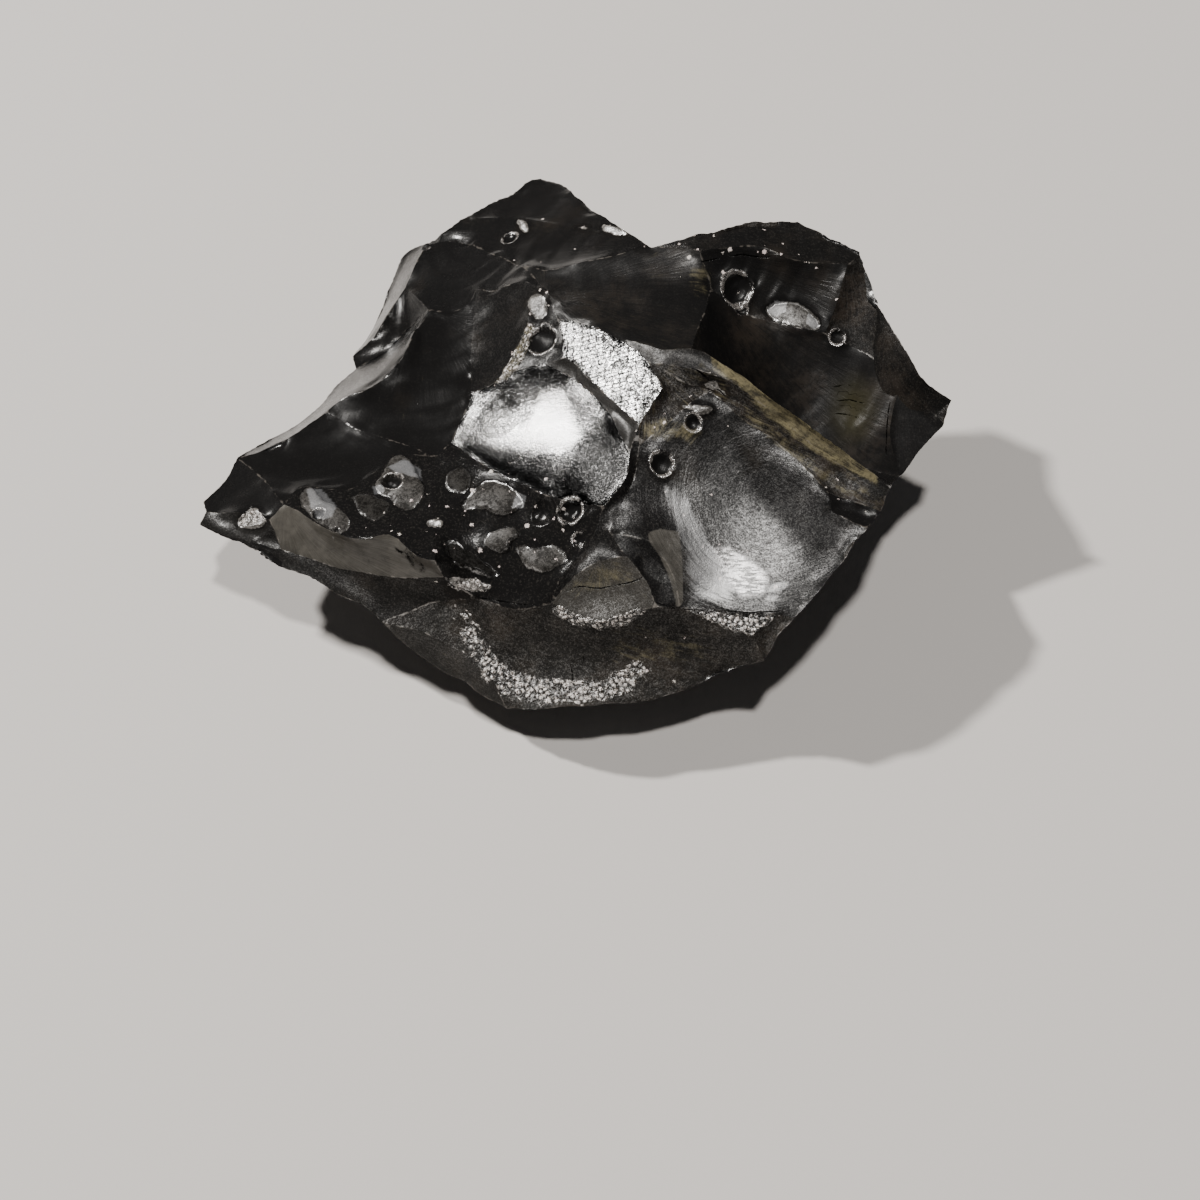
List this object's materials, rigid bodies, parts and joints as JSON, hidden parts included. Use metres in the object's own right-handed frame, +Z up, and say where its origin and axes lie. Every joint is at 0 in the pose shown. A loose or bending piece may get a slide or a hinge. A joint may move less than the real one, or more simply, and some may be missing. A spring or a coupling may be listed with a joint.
{
  "type": "shungite nugget",
  "caption": "Natural lump of glossy black shungite, flake-scarred on every side, with sharp ridges, a hollow on top and a small flat underneath that it rests on.",
  "frame": {"origin": "under the middle of the stone's box, at the level it rests on", "axes": "+X from the thin west tip to the east tip, +Y from the front edge to the back point, +Z up"},
  "size_m": [0.0686, 0.0569, 0.0246],
  "materials": {
    "shungite": "black, glassy to semi-metallic lustre on fresh scars, with duller grainy patches and a thin golden-brown iron film along one crest"
  },
  "bodies": {
    "root": {"nugget": "shungite"}
  },
  "joints": []
}
